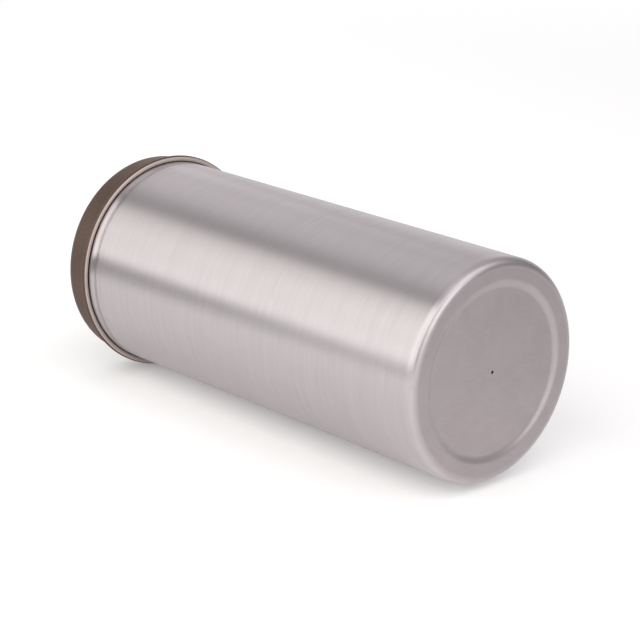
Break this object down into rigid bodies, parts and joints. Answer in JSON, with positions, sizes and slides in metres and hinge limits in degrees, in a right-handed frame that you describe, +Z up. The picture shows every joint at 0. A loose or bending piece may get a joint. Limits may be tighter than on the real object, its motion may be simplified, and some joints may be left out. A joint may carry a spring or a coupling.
{
  "type": "lidded tin",
  "caption": "Tall round double-walled storage tin lying on its side, with a short push-on lid that pulls straight off its neck.",
  "frame": {"origin": "on the ground plane, below the middle of the tin's length as it lies on its side", "axes": "+X along the tin's axis, out of its base; the lid faces -X; +Z up"},
  "size_m": [0.1796, 0.0794, 0.0793],
  "materials": {
    "shell_aluminium": "brushed round the body, brushed straight across the base",
    "collar_plastic": "dark grey, moulded",
    "liner_aluminium": "plain drawn satin",
    "pad_foam": "soft closed-cell",
    "lid_aluminium": "brown, finely blasted, with a paler smooth bead",
    "insert_plastic": "pale grey, moulded",
    "seal_silicone": "milky silicone"
  },
  "bodies": {
    "tin": {"outer_shell": "shell_aluminium", "neck_collar": "collar_plastic", "inner_liner": "liner_aluminium", "base_pad": "pad_foam"},
    "lid": {"lid_shell": "lid_aluminium", "lid_insert": "insert_plastic", "lid_seal": "seal_silicone"}
  },
  "joints": [
    {"name": "lid_pull", "type": "slide", "parent": "tin", "child": "lid", "axis": [-1, 0, 0], "range_m": [0, 0.06]}
  ]
}
